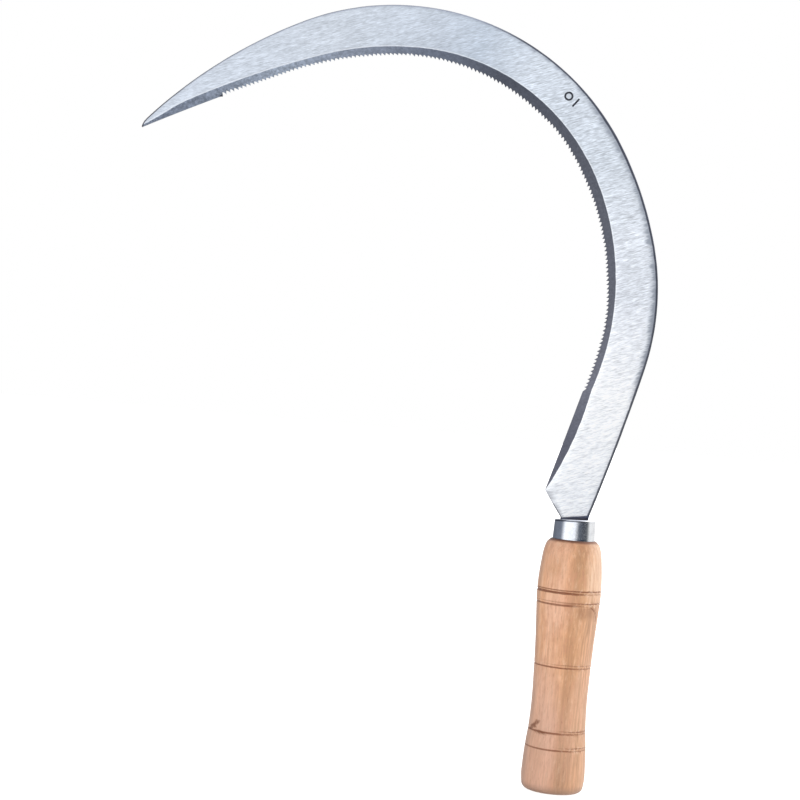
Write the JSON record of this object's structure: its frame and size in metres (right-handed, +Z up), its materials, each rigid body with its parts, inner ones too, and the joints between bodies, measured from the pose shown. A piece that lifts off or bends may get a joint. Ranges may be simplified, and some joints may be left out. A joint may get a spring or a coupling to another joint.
{
  "type": "hand sickle",
  "caption": "Hand sickle: a hooked steel blade with a saw-toothed inner edge, a steel ferrule and a turned wooden handle, for cutting grass and crops by hand.",
  "frame": {"origin": "centre of the handle's flat butt end", "axes": "+Z up the handle's axis towards the blade, -X the way the blade hooks, -Y the way the bevelled and marked front face looks"},
  "size_m": [0.2873, 0.0348, 0.4175],
  "materials": {
    "blade_steel": "brushed, with a darker ground bevel along the toothed edge",
    "ferrule_steel": "smooth bright plating",
    "handle_wood": "bare light hardwood, fine sanded, with darker turned ring grooves"
  },
  "bodies": {
    "root": {"blade": "blade_steel", "ferrule": "ferrule_steel", "handle": "handle_wood"}
  },
  "joints": []
}
